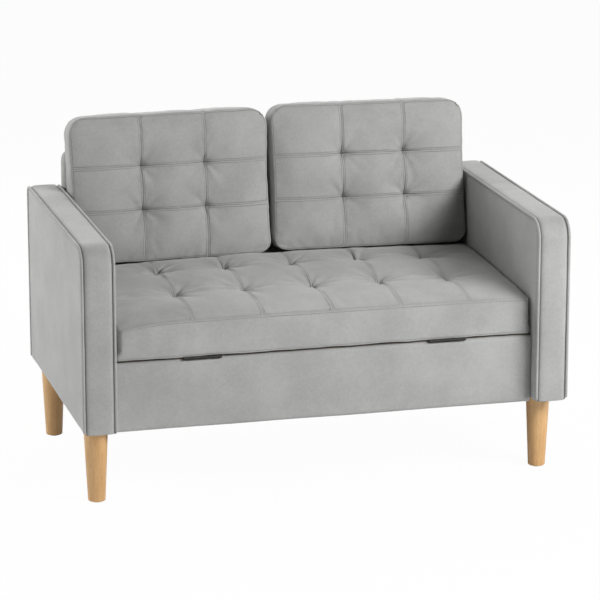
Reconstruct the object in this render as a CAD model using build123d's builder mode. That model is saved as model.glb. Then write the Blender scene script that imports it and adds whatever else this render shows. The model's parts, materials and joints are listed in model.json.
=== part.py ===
"""Two-seat storage sofa: upholstered box arms, a tufted seat that is the lid of a
storage box, two loose tufted back cushions and four turned wooden legs.

Millimetres. +X runs to the right as seen from the front, the front faces -Y and +Z is up.
The origin is on the floor, under the middle of the sofa.
"""

import os
from math import cos, radians, sin, tan

from build123d import *

# Overall sizes
sofa_width = 1170.0
sofa_depth = 690.0
leg_height = 186.0
arm_rise = 440.0
arm_thickness = 78.0
back_rise = 526.0
back_thickness = 54.0

# Upholstery of the arms and the back
arm_pad = 10.0
arm_front_radius = 45.0
arm_rear_radius = 18.0
back_pad = 10.0
back_top_radius = 24.0
back_corner_radius = 30.0
back_side_gap = 3.0
back_rear_inset = 1.0
piping_diameter = 6.0
piping_clearance = 0.2

# Timber inside the arms and the back
timber_width = 45.0
middle_rail_height = 104.0

# Storage box
front_recess = 35.0
box_drop = 10.0
rail_height = 165.0
board_thickness = 18.0
front_skin = 8.0
edge_skin = 2.0
rail_edge_radius = 8.0
rail_side_gap = 0.5
cleat_size = 20.0
bearer_width = 45.0
bearer_pitch = 330.0
floor_thickness = 9.0
floor_clearance = 0.5
rest_rail_width = 40.0
rest_rail_height = 30.0
lid_rest_gap = 0.3
dust_cover_thickness = 1.0

# Seat lid
lid_side_gap = 2.0
seat_board_thickness = 12.0
seat_skirt = 8.0
seat_front_height = 82.0
seat_side_height = 94.0
seat_bulge = 2.5
seat_corner_radius = 16.0
seat_crown_across = 8.0
seat_crown_along = 16.0
seat_puff_across = 8.0
seat_puff_along = 6.0
seat_tuft_columns = 5
seat_tuft_pitch = 168.0
seat_front_row = 200.0
seat_row_pitch = 200.0
seat_tuft_depth = 12.0
seat_tuft_radius = 46.0

# Fixed rear deck that carries the back cushions
deck_depth = 105.0
deck_gap = 2.0
deck_board_thickness = 12.0
deck_height = 98.0
deck_edge_radius = 6.0
deck_rear_clearance = 0.5
cushion_rest_gap = 0.3

# Back cushions
cushion_height = 362.0
cushion_edge = 68.0
cushion_lean = 8.0
cushion_middle_gap = 2.0
cushion_side_gap = 3.0
cushion_back_clearance = 0.6
cushion_corner_radius = 42.0
cushion_waist = 4.0
cushion_crown_across = 20.0
cushion_crown_along = 14.0
cushion_puff = 8.0
cushion_tuft_depth = 11.0
cushion_tuft_radius = 42.0
cushion_tuft_pitch_across = 160.0
cushion_tuft_pitch_up = 108.0

# Upright rim between the boxing of a pad and its face, and how far the arcs of the face
# run out past the sides and how much they drop there
pad_rim = 4.0
section_overhang = 10.0
section_drop = 5.0

# Shape of a tuft: its stitch, and how wide and how deep it is where it turns to the face
tuft_stitch_radius = 2.0
tuft_throat_share = 0.25
tuft_flare_share = 0.6

# Butt hinges in the gap between the front rail and the lid
hinge_spacing = 592.0
hinge_length = 88.0
hinge_knuckles = 5
hinge_knuckle_diameter = 6.8
hinge_pin_diameter = 3.4
hinge_pin_head = 5.6
hinge_pin_head_height = 1.2
hinge_leaf_thickness = 2.0
hinge_leaf_width = 27.0
hinge_leaf_gap = 1.0
hinge_axis_overhang = 1.0
hinge_running_clearance = 0.05
hinge_end_clearance = 0.15
hinge_screw_pitch = 30.0
hinge_screw_count = 3
hinge_screw_diameter = 4.0
hinge_screw_head = 7.4
hinge_rail_screw_length = 18.0
hinge_lid_screw_length = 11.0
screw_clearance = 0.05

# Legs
leg_top_diameter = 58.0
leg_bottom_diameter = 41.0
leg_foot_radius = 3.0
leg_top_chamfer = 1.5
leg_side_inset = 44.0
leg_front_inset = 85.0
leg_rear_inset = 60.0
leg_bolt_diameter = 8.0
leg_bolt_length = 60.0
leg_insert_diameter = 12.0
leg_insert_length = 20.0
glide_diameter = 26.0
glide_thickness = 2.0
glide_nail_diameter = 2.5
glide_nail_length = 14.0

# Bolts that hold the arms and the back to the box
bolt_diameter = 8.0
bolt_length = 50.0
bolt_head_diameter = 16.0
bolt_head_height = 5.0
bolt_socket = 5.0
bolt_socket_depth = 3.0
washer_diameter = 20.0
washer_thickness = 1.5
bolt_insert_diameter = 12.0
bolt_insert_length = 25.0
bolt_floor_clearance = 3.0
bolt_hole_depth = 30.0
bolt_clearance = 0.1
arm_bolt_front_inset = 134.0
arm_bolt_rail_gap = 30.0
back_bolt_pitch = 660.0

# Screws that join the boards of the box at its corners
box_screw_diameter = 5.0
box_screw_head = 9.0
box_screw_length = 50.0
box_screw_pitch = 80.0
box_screw_lift = 45.0

# Places worked out from the sizes
half_width = sofa_width / 2
front_y = -sofa_depth / 2
rear_y = sofa_depth / 2
inner_x = half_width - arm_thickness
arm_top = leg_height + arm_rise
back_rear_y = rear_y - back_rear_inset
back_front_y = back_rear_y - back_thickness
back_half_width = inner_x - back_side_gap
back_top = leg_height + back_rise

rail_face_y = front_y + front_recess
box_bottom = leg_height - box_drop
board_bottom = box_bottom + edge_skin
rail_top = box_bottom + rail_height
front_board_y = rail_face_y + front_skin
well_front_y = front_board_y + board_thickness
well_rear_y = back_front_y - board_thickness
well_half_width = inner_x - board_thickness
floor_bottom = board_bottom + cleat_size
floor_top = floor_bottom + floor_thickness

lid_gap = 2 * hinge_leaf_thickness + hinge_leaf_gap
lid_bottom = rail_top + lid_gap
deck_rear_y = back_front_y - deck_rear_clearance
deck_front_y = deck_rear_y - deck_depth
lid_rear_y = deck_front_y - deck_gap
lid_depth = lid_rear_y - rail_face_y
lid_half_width = inner_x - lid_side_gap
rest_height = lid_bottom - lid_rest_gap

deck_top = lid_bottom + deck_height
deck_board_top = rest_height + deck_board_thickness
rest_rail_y = (lid_rear_y + deck_front_y) / 2

hinge_axis_y = rail_face_y - hinge_axis_overhang
hinge_axis_z = rail_top + lid_gap / 2
hinge_screw_y = front_board_y + board_thickness / 2

leg_x = half_width - leg_side_inset
leg_places = {
    "front_left_leg": (-leg_x, front_y + leg_front_inset),
    "front_right_leg": (leg_x, front_y + leg_front_inset),
    "rear_left_leg": (-leg_x, rear_y - leg_rear_inset),
    "rear_right_leg": (leg_x, rear_y - leg_rear_inset),
}

lower_bolt_z = floor_top + washer_diameter / 2 + bolt_floor_clearance
upper_bolt_z = leg_height + middle_rail_height + timber_width / 2
bolt_rows = (lower_bolt_z, upper_bolt_z)
arm_bolt_columns = (
    well_front_y + arm_bolt_front_inset,
    rest_rail_y - rest_rail_width / 2 - arm_bolt_rail_gap,
)

os.makedirs("parts", exist_ok=True)


def save(piece, name):
    """Label a finished piece and write it as its own file."""
    piece.label = name
    export_step(piece, f"parts/{name}.step")


def side_plane(x):
    """Upright plane across the sofa at x: local x runs to the rear and local y runs up."""
    return Plane(origin=(x, 0, 0), x_dir=(0, 1, 0), z_dir=(1, 0, 0))


def front_plane(y):
    """Upright plane along the sofa at y: local x runs right, local y up, normal to the front."""
    return Plane(origin=(0, y, 0), x_dir=(1, 0, 0), z_dir=(0, -1, 0))


def rear_facing_plane(y):
    """Upright plane at y whose normal points to the rear: local x runs left, local y up."""
    return Plane(origin=(0, y, 0), x_dir=(-1, 0, 0), z_dir=(0, 1, 0))


def arm_outline(inset):
    """Side view of an arm, drawn in by inset at the front, top and rear but not underneath."""
    front = front_y + inset
    rear = rear_y - inset
    top = arm_top - inset
    front_radius = arm_front_radius - inset
    rear_radius = arm_rear_radius - inset
    with BuildLine() as edge:
        Line((front, leg_height), (front, top - front_radius))
        RadiusArc((front, top - front_radius), (front + front_radius, top), front_radius)
        Line((front + front_radius, top), (rear - rear_radius, top))
        RadiusArc((rear - rear_radius, top), (rear, top - rear_radius), rear_radius)
        Line((rear, top - rear_radius), (rear, leg_height))
        Line((rear, leg_height), (front, leg_height))
    make_face(edge.edges())


def arm_timber():
    """Ladder of posts and rails, seen from the side: an outline less its two windows."""
    arm_outline(arm_pad)
    window_front = front_y + arm_pad + timber_width
    window_rear = rear_y - arm_pad - timber_width
    bottom_rail_top = leg_height + timber_width
    middle_rail_bottom = leg_height + middle_rail_height
    middle_rail_top = middle_rail_bottom + timber_width
    top_rail_bottom = arm_top - arm_pad - timber_width
    for low, high in ((bottom_rail_top, middle_rail_bottom), (middle_rail_top, top_rail_bottom)):
        with Locations(((window_front + window_rear) / 2, (low + high) / 2)):
            Rectangle(window_rear - window_front, high - low, mode=Mode.SUBTRACT)


def back_timber():
    """Ladder of posts and rails, seen from the front, with a middle post."""
    half = back_half_width - back_pad
    top = back_top - back_pad
    with Locations((0, (leg_height + top) / 2)):
        Rectangle(2 * half, top - leg_height)
    bottom_rail_top = leg_height + timber_width
    middle_rail_bottom = leg_height + middle_rail_height
    middle_rail_top = middle_rail_bottom + timber_width
    window_width = half - 1.5 * timber_width
    window_x = (timber_width + window_width) / 2
    for low, high in ((bottom_rail_top, middle_rail_bottom), (middle_rail_top, top - timber_width)):
        with Locations((-window_x, (low + high) / 2), (window_x, (low + high) / 2)):
            Rectangle(window_width, high - low, mode=Mode.SUBTRACT)


# Bolt places: on the arms as (y, z), on the back as (x, z)
arm_bolt_places = [(y, z) for y in arm_bolt_columns for z in bolt_rows]
back_bolt_places = [(x, z) for x in (-back_bolt_pitch / 2, back_bolt_pitch / 2) for z in bolt_rows]

# Right arm timber: glued ladder with sockets for the arm bolts and the leg bolts
arm_timber_x = inner_x + arm_pad
right_leg_places = [place for place in leg_places.values() if place[0] > 0]
with BuildPart() as right_arm_frame:
    with BuildSketch(side_plane(arm_timber_x)):
        arm_timber()
    extrude(amount=arm_thickness - 2 * arm_pad)
    with BuildSketch(side_plane(arm_timber_x)):
        with Locations(*arm_bolt_places):
            Circle(bolt_diameter / 2 + bolt_clearance)
    extrude(amount=bolt_hole_depth, mode=Mode.SUBTRACT)
    with BuildSketch(side_plane(arm_timber_x)):
        with Locations(*arm_bolt_places):
            Circle(bolt_insert_diameter / 2)
    extrude(amount=bolt_insert_length, mode=Mode.SUBTRACT)
    with BuildSketch(Plane.XY.offset(leg_height)):
        with Locations(*right_leg_places):
            Circle(leg_bolt_diameter / 2 + bolt_clearance)
    extrude(amount=leg_bolt_length / 2 + bolt_clearance, mode=Mode.SUBTRACT)
    with BuildSketch(Plane.XY.offset(leg_height)):
        with Locations(*right_leg_places):
            Circle(leg_insert_diameter / 2)
    extrude(amount=leg_insert_length, mode=Mode.SUBTRACT)

with BuildPart() as left_arm_frame:
    mirror(right_arm_frame.part, about=Plane.YZ)

save(right_arm_frame.part, "right_arm_frame")
save(left_arm_frame.part, "left_arm_frame")

# Right arm upholstery: the band across front, top and rear stands proud of the side panels
# by a rebate, where the piping lies, and the timber is let in from below
piping_rebate = piping_diameter + piping_clearance
with BuildPart() as right_arm_padding:
    with BuildSketch(side_plane(inner_x)):
        arm_outline(piping_rebate)
    extrude(amount=arm_thickness)
    with BuildSketch(side_plane(inner_x + piping_rebate)):
        arm_outline(0)
    extrude(amount=arm_thickness - 2 * piping_rebate)
    with BuildSketch(side_plane(arm_timber_x)):
        arm_timber()
    extrude(amount=arm_thickness - 2 * arm_pad, mode=Mode.SUBTRACT)
    with BuildSketch(side_plane(inner_x)):
        with Locations(*arm_bolt_places):
            Circle(bolt_diameter / 2 + bolt_clearance)
    extrude(amount=arm_pad, mode=Mode.SUBTRACT)

with BuildPart() as left_arm_padding:
    mirror(right_arm_padding.part, about=Plane.YZ)

save(right_arm_padding.part, "right_arm_padding")
save(left_arm_padding.part, "left_arm_padding")

# Right arm piping: a cord along each edge of the band, up the front, over the top, down the rear
piping_radius = piping_diameter / 2
with BuildPart() as right_arm_piping:
    for piping_x in (inner_x + piping_radius, half_width - piping_radius):
        bead_front = front_y + piping_radius
        bead_rear = rear_y - piping_radius
        bead_top = arm_top - piping_radius
        with BuildLine(side_plane(piping_x)) as bead_path:
            FilletPolyline(
                (bead_front, leg_height),
                (bead_front, bead_top),
                (bead_rear, bead_top),
                (bead_rear, leg_height),
                radius=[arm_front_radius - piping_radius, arm_rear_radius - piping_radius],
            )
        with BuildSketch(Plane(origin=bead_path.line @ 0, z_dir=bead_path.line % 0)):
            Circle(piping_radius)
        sweep(path=bead_path.line)

with BuildPart() as left_arm_piping:
    mirror(right_arm_piping.part, about=Plane.YZ)

save(right_arm_piping.part, "right_arm_piping")
save(left_arm_piping.part, "left_arm_piping")

# Back: a timber ladder inside a padded slab with rounded top corners and a rolled top edge
back_timber_y = back_front_y + back_pad
with BuildPart() as back_frame:
    with BuildSketch(rear_facing_plane(back_timber_y)):
        back_timber()
    extrude(amount=back_thickness - 2 * back_pad)
    with BuildSketch(rear_facing_plane(back_timber_y)):
        with Locations(*back_bolt_places):
            Circle(bolt_diameter / 2 + bolt_clearance)
    extrude(amount=bolt_hole_depth, mode=Mode.SUBTRACT)
    with BuildSketch(rear_facing_plane(back_timber_y)):
        with Locations(*back_bolt_places):
            Circle(bolt_insert_diameter / 2)
    extrude(amount=bolt_insert_length, mode=Mode.SUBTRACT)

with BuildPart() as back_padding:
    with BuildSketch(rear_facing_plane(back_front_y)) as back_outline:
        with Locations((0, (leg_height + back_top) / 2)):
            Rectangle(2 * back_half_width, back_top - leg_height)
        fillet(back_outline.vertices().group_by(Axis.Y)[-1], back_corner_radius)
    extrude(amount=back_thickness)
    with BuildSketch(side_plane(0)) as back_section:
        with Locations(((back_front_y + back_rear_y) / 2, (leg_height + back_top) / 2)):
            Rectangle(back_thickness, back_top - leg_height)
        fillet(back_section.vertices().group_by(Axis.Y)[-1], back_top_radius)
    extrude(amount=sofa_width, both=True, mode=Mode.INTERSECT)
    with BuildSketch(rear_facing_plane(back_timber_y)):
        back_timber()
    extrude(amount=back_thickness - 2 * back_pad, mode=Mode.SUBTRACT)
    with BuildSketch(rear_facing_plane(back_front_y)):
        with Locations(*back_bolt_places):
            Circle(bolt_diameter / 2 + bolt_clearance)
    extrude(amount=back_pad, mode=Mode.SUBTRACT)

save(back_frame.part, "back_frame")
save(back_padding.part, "back_padding")

# Screw places: hinge screws along the front rail, box screws at the four corners
hinge_centres = (-hinge_spacing / 2, hinge_spacing / 2)
hinge_screw_offsets = [
    (i - (hinge_screw_count - 1) / 2) * hinge_screw_pitch for i in range(hinge_screw_count)
]
hinge_screw_places = [(c + d, hinge_screw_y) for c in hinge_centres for d in hinge_screw_offsets]
box_screw_x = well_half_width + board_thickness / 2
box_screw_rows = (board_bottom + box_screw_lift, board_bottom + box_screw_lift + box_screw_pitch)
box_screw_places = [(x, z) for x in (-box_screw_x, box_screw_x) for z in box_screw_rows]
box_screw_hole = box_screw_diameter / 2 + screw_clearance
hinge_screw_hole = hinge_screw_diameter / 2 + screw_clearance
box_screw_sink = (box_screw_head - box_screw_diameter) / 2


def countersunk_hole(plane, places, hole_radius, head_radius, sink, depth):
    """Straight holes with a conical mouth on the plane's own side, cut along its normal."""
    with BuildSketch(plane) as bores:
        with Locations(*places):
            Circle(hole_radius)
    extrude(bores.sketch, amount=depth, mode=Mode.SUBTRACT)
    for place in places:
        with BuildSketch(plane) as mouth:
            with Locations(place):
                Circle(head_radius)
        with BuildSketch(plane.offset(sink)) as throat:
            with Locations(place):
                Circle(hole_radius)
        loft([mouth.sketch, throat.sketch], ruled=True, mode=Mode.SUBTRACT)


# Front rail board, drilled for the corner screws and the hinge screws
rail_screw_depth = hinge_rail_screw_length - hinge_leaf_thickness
with BuildPart() as front_rail:
    with BuildSketch(side_plane(-inner_x + rail_side_gap)):
        with Locations((front_board_y + board_thickness / 2, (board_bottom + rail_top - edge_skin) / 2)):
            Rectangle(board_thickness, rail_top - edge_skin - board_bottom)
    extrude(amount=2 * (inner_x - rail_side_gap))
    countersunk_hole(
        rear_facing_plane(front_board_y),
        box_screw_places,
        box_screw_hole,
        box_screw_head / 2 + screw_clearance,
        box_screw_sink,
        board_thickness,
    )
    with BuildSketch(Plane.XY.offset(rail_top - rail_screw_depth)):
        with Locations(*hinge_screw_places):
            Circle(hinge_screw_hole)
    extrude(amount=rail_screw_depth, mode=Mode.SUBTRACT)

# Front rail upholstery: a thin pad over the face, wrapped over and under the board
with BuildPart() as front_rail_padding:
    with BuildSketch(side_plane(-inner_x + rail_side_gap)) as rail_section:
        with Locations(((rail_face_y + well_front_y) / 2, (box_bottom + rail_top) / 2)):
            Rectangle(well_front_y - rail_face_y, rail_height)
        fillet(rail_section.vertices().group_by(Axis.X)[0], rail_edge_radius)
        with Locations((front_board_y + board_thickness / 2, (board_bottom + rail_top - edge_skin) / 2)):
            Rectangle(board_thickness, rail_top - edge_skin - board_bottom, mode=Mode.SUBTRACT)
    extrude(amount=2 * (inner_x - rail_side_gap))
    with BuildSketch(Plane.XY.offset(rail_top - edge_skin)):
        with Locations(*hinge_screw_places):
            Circle(hinge_screw_hole)
    extrude(amount=edge_skin, mode=Mode.SUBTRACT)

save(front_rail.part, "front_rail")
save(front_rail_padding.part, "front_rail_padding")

# Rear rail board, bolted to the back and screwed to the side boards
with BuildPart() as rear_rail:
    with BuildSketch(side_plane(-inner_x + rail_side_gap)):
        with Locations((well_rear_y + board_thickness / 2, (board_bottom + rest_height) / 2)):
            Rectangle(board_thickness, rest_height - board_bottom)
    extrude(amount=2 * (inner_x - rail_side_gap))
    countersunk_hole(
        front_plane(back_front_y),
        box_screw_places,
        box_screw_hole,
        box_screw_head / 2 + screw_clearance,
        box_screw_sink,
        board_thickness,
    )
    with BuildSketch(rear_facing_plane(well_rear_y)):
        with Locations(*back_bolt_places):
            Circle(bolt_diameter / 2 + bolt_clearance)
    extrude(amount=board_thickness, mode=Mode.SUBTRACT)

save(rear_rail.part, "rear_rail")

# Side boards between the two rails, drilled for the arm bolts and the corner screws
box_screw_reach = box_screw_length - board_thickness
with BuildPart() as right_side_board:
    with BuildSketch(side_plane(well_half_width)):
        with Locations(((well_front_y + well_rear_y) / 2, (board_bottom + rest_height) / 2)):
            Rectangle(well_rear_y - well_front_y, rest_height - board_bottom)
        with Locations(*arm_bolt_places):
            Circle(bolt_diameter / 2 + bolt_clearance, mode=Mode.SUBTRACT)
    extrude(amount=board_thickness)
    right_screw_places = [(box_screw_x, z) for z in box_screw_rows]
    with BuildSketch(front_plane(well_front_y + box_screw_reach)):
        with Locations(*right_screw_places):
            Circle(box_screw_hole)
    extrude(amount=box_screw_reach, mode=Mode.SUBTRACT)
    with BuildSketch(front_plane(well_rear_y)):
        with Locations(*right_screw_places):
            Circle(box_screw_hole)
    extrude(amount=box_screw_reach, mode=Mode.SUBTRACT)

with BuildPart() as left_side_board:
    mirror(right_side_board.part, about=Plane.YZ)

save(right_side_board.part, "right_side_board")
save(left_side_board.part, "left_side_board")

# Cleats round the foot of the box, two bearers across it and the floor panel on them
well_middle_y = (well_front_y + well_rear_y) / 2
well_depth = well_rear_y - well_front_y
with BuildPart() as floor_cleats:
    with BuildSketch(Plane.XY.offset(board_bottom)):
        with Locations((0, well_front_y + cleat_size / 2), (0, well_rear_y - cleat_size / 2)):
            Rectangle(2 * well_half_width, cleat_size)
        cleat_x = well_half_width - cleat_size / 2
        with Locations((-cleat_x, well_middle_y), (cleat_x, well_middle_y)):
            Rectangle(cleat_size, well_depth - 2 * cleat_size - 2 * floor_clearance)
    extrude(amount=cleat_size)

with BuildPart() as floor_bearers:
    with BuildSketch(Plane.XY.offset(board_bottom)):
        with Locations((-bearer_pitch / 2, well_middle_y), (bearer_pitch / 2, well_middle_y)):
            Rectangle(bearer_width, well_depth - 2 * cleat_size)
    extrude(amount=cleat_size)

with BuildPart() as storage_floor:
    with BuildSketch(Plane.XY.offset(floor_bottom)):
        with Locations((0, well_middle_y)):
            Rectangle(2 * (well_half_width - floor_clearance), well_depth - 2 * floor_clearance)
    extrude(amount=floor_thickness)

with BuildPart() as dust_cover:
    with BuildSketch(Plane.XY.offset(board_bottom - dust_cover_thickness)):
        with Locations((0, (well_front_y + back_front_y) / 2)):
            Rectangle(2 * (inner_x - rail_side_gap), back_front_y - well_front_y)
    extrude(amount=dust_cover_thickness)

save(floor_cleats.part, "floor_cleats")
save(floor_bearers.part, "floor_bearers")
save(storage_floor.part, "storage_floor")
save(dust_cover.part, "dust_cover")

# Cross rail on which the rear edge of the lid and the front edge of the deck board rest
with BuildPart() as seat_rest_rail:
    with BuildSketch(side_plane(-well_half_width)):
        with Locations((rest_rail_y, rest_height - rest_rail_height / 2)):
            Rectangle(rest_rail_width, rest_rail_height)
    extrude(amount=2 * well_half_width)

save(seat_rest_rail.part, "seat_rest_rail")

# Rear deck: a board and a foam block under the back cushions, flat where they stand
with BuildPart() as rear_deck_board:
    with BuildSketch(Plane.XY.offset(rest_height)):
        with Locations((0, (deck_front_y + deck_rear_y) / 2)):
            Rectangle(2 * lid_half_width, deck_rear_y - deck_front_y)
    extrude(amount=deck_board_thickness)

with BuildPart() as rear_deck_pad:
    with BuildSketch(side_plane(-lid_half_width)) as deck_section:
        with Locations(((deck_front_y + deck_rear_y) / 2, (deck_board_top + deck_top) / 2)):
            Rectangle(deck_rear_y - deck_front_y, deck_top - deck_board_top)
        fillet(deck_section.vertices().group_by(Axis.Y)[-1], deck_edge_radius)
    extrude(amount=2 * lid_half_width)

save(rear_deck_board.part, "rear_deck_board")
save(rear_deck_pad.part, "rear_deck_pad")


def channel_height(place, lines, edges, crown):
    """Height of a sewn line: a parabola of rise crown over the slope from edge to edge."""
    share = (place - lines[0]) / (lines[-1] - lines[0])
    return edges[0] + (edges[1] - edges[0]) * share + 4 * crown * share * (1 - share)


def quilted_section(lines, edges, crown, puff):
    """Section under a row of arcs that meet at the sewn lines and run out past the pad's sides."""
    tops = [(place, channel_height(place, lines, edges, crown)) for place in lines]
    tops[0] = (lines[0] - section_overhang, edges[0] - section_drop)
    tops[-1] = (lines[-1] + section_overhang, edges[1] - section_drop)
    first_foot = (tops[0][0], -section_overhang)
    last_foot = (tops[-1][0], -section_overhang)
    with BuildLine() as outline:
        Line(first_foot, tops[0])
        for i in range(len(lines) - 1):
            middle = (lines[i] + lines[i + 1]) / 2
            ridge = channel_height(middle, lines, edges, crown) + puff
            ThreePointArc(tops[i], (middle, ridge), tops[i + 1])
        Line(tops[-1], last_foot)
        Line(last_foot, first_foot)
    make_face(outline.edges())


def pad_outline(columns, rows, inset, radius):
    """Rounded rectangle between the outer sewn lines, drawn in by inset."""
    with Locations(((columns[0] + columns[-1]) / 2, (rows[0] + rows[-1]) / 2)):
        width = columns[-1] - columns[0] - 2 * inset
        length = rows[-1] - rows[0] - 2 * inset
        RectangleRounded(width, length, radius)


def tuft_funnel(depth, height, radius):
    """Trumpet-shaped dimple, its tip on the origin: narrow at the stitch, flaring to the face."""
    with BuildPart() as funnel:
        with BuildSketch(Plane.XZ):
            with BuildLine():
                Line((0, 0), (tuft_stitch_radius, 0))
                throat_radius = tuft_stitch_radius + tuft_throat_share * (radius - tuft_stitch_radius)
                throat = (throat_radius, tuft_flare_share * depth)
                ThreePointArc((tuft_stitch_radius, 0), throat, (radius, depth))
                Line((radius, depth), (radius, depth + height))
                Line((radius, depth + height), (0, depth + height))
                Line((0, depth + height), (0, 0))
            make_face()
        revolve(axis=Axis.Z)
    return funnel.part


def quilted_pad(face, columns, rows, edges, insets, radius, crowns, puffs, tuft_depth, tuft_radius):
    """Boxed pad on a plane: a lofted border and a face of arcs between sewn lines, with tufts.

    columns and rows are the sewn lines across and along the pad with its two outer edges.
    edges are the heights of the face at those edges, for the columns and for the rows.
    insets draw the border in at its seams and at its waist.
    """
    border = min(edges[0] + edges[1]) - pad_rim
    rise = max(edges[0] + edges[1]) - border + max(crowns) + max(puffs)
    seam_inset, waist_inset = insets
    across = Plane(origin=face.origin, x_dir=face.x_dir, z_dir=-face.y_dir)
    along = Plane(origin=face.origin, x_dir=face.y_dir, z_dir=face.x_dir)
    reach = columns[-1] - columns[0] + rows[-1] - rows[0]
    funnel = tuft_funnel(tuft_depth + max(puffs), rise, tuft_radius)
    with BuildPart(face) as pad:
        for height, inset in ((0, seam_inset), (border / 2, waist_inset), (border, seam_inset)):
            with BuildSketch(face.offset(height)):
                pad_outline(columns, rows, inset, radius)
        loft()
        with BuildSketch(face.offset(border)):
            pad_outline(columns, rows, seam_inset, radius)
        extrude(amount=rise)
        with BuildSketch(across):
            quilted_section(columns, edges[0], crowns[0], puffs[0])
        extrude(amount=reach, both=True, mode=Mode.INTERSECT)
        with BuildSketch(along):
            quilted_section(rows, edges[1], crowns[1], puffs[1])
        extrude(amount=reach, both=True, mode=Mode.INTERSECT)
        for column in columns[1:-1]:
            for row in rows[1:-1]:
                column_height = channel_height(column, columns, edges[0], crowns[0])
                row_height = channel_height(row, rows, edges[1], crowns[1])
                tip = min(column_height, row_height) - tuft_depth
                with Locations((column, row, tip)):
                    add(funnel, mode=Mode.SUBTRACT)
    return pad.part


# Seat lid: a board let into the underside of a boxed pad with two rows of tufts
seat_columns = [-lid_half_width]
for column_index in range(seat_tuft_columns):
    seat_columns.append((column_index - (seat_tuft_columns - 1) / 2) * seat_tuft_pitch)
seat_columns.append(lid_half_width)
seat_rows = [
    rail_face_y,
    rail_face_y + seat_front_row,
    rail_face_y + seat_front_row + seat_row_pitch,
    lid_rear_y,
]
seat_board_middle = (rail_face_y + lid_rear_y) / 2
lid_screw_depth = hinge_lid_screw_length - hinge_leaf_thickness


def seat_board_outline():
    """Plan of the seat board, inside the skirt of the pad."""
    with Locations((0, seat_board_middle)):
        Rectangle(2 * (lid_half_width - seat_skirt), lid_depth - 2 * seat_skirt)


with BuildPart() as seat_board:
    with BuildSketch(Plane.XY.offset(lid_bottom)):
        seat_board_outline()
    extrude(amount=seat_board_thickness)
    with BuildSketch(Plane.XY.offset(lid_bottom)):
        with Locations(*hinge_screw_places):
            Circle(hinge_screw_hole)
    extrude(amount=lid_screw_depth, mode=Mode.SUBTRACT)

seat_block = quilted_pad(
    Plane.XY.offset(lid_bottom),
    seat_columns,
    seat_rows,
    ((seat_side_height, seat_side_height), (seat_front_height, deck_height)),
    (seat_bulge, 0),
    seat_corner_radius,
    (seat_crown_across, seat_crown_along),
    (seat_puff_across, seat_puff_along),
    seat_tuft_depth,
    seat_tuft_radius,
)
with BuildPart() as seat_pad:
    add(seat_block)
    with BuildSketch(Plane.XY.offset(lid_bottom)):
        seat_board_outline()
    extrude(amount=seat_board_thickness, mode=Mode.SUBTRACT)

save(seat_board.part, "seat_board")
save(seat_pad.part, "seat_pad")

# Back cushions: they stand on the deck and lean against the top edge of the back
lean = radians(cushion_lean)
cushion_bottom = deck_top + cushion_rest_gap
lean_height = back_top - back_top_radius - cushion_bottom
cushion_rear_y = back_front_y - cushion_back_clearance - lean_height * tan(lean)
cushion_width = inner_x - cushion_side_gap - cushion_middle_gap / 2
cushion_x = (cushion_width + cushion_middle_gap) / 2
cushion_columns = [
    -cushion_width / 2,
    -cushion_tuft_pitch_across / 2,
    cushion_tuft_pitch_across / 2,
    cushion_width / 2,
]
cushion_rows = [
    0,
    (cushion_height - cushion_tuft_pitch_up) / 2,
    (cushion_height + cushion_tuft_pitch_up) / 2,
    cushion_height,
]
for name, x in (("left_back_cushion", -cushion_x), ("right_back_cushion", cushion_x)):
    cushion = quilted_pad(
        Plane(
            origin=(x, cushion_rear_y, cushion_bottom),
            x_dir=(1, 0, 0),
            z_dir=(0, -cos(lean), sin(lean)),
        ),
        cushion_columns,
        cushion_rows,
        ((cushion_edge, cushion_edge), (cushion_edge, cushion_edge)),
        (0, cushion_waist),
        cushion_corner_radius,
        (cushion_crown_across, cushion_crown_along),
        (cushion_puff, cushion_puff),
        cushion_tuft_depth,
        cushion_tuft_radius,
    )
    save(cushion, name)

# Hinges: two leaves whose knuckles take turns on one pin
knuckle_pitch = hinge_length / hinge_knuckles
knuckle_radius = hinge_knuckle_diameter / 2
pin_radius = hinge_pin_diameter / 2
leaf_offset = hinge_leaf_gap / 2
leaf_sink = (hinge_screw_head - hinge_screw_diameter) / 2
knuckle_relief = knuckle_radius + hinge_leaf_gap / 2


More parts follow.
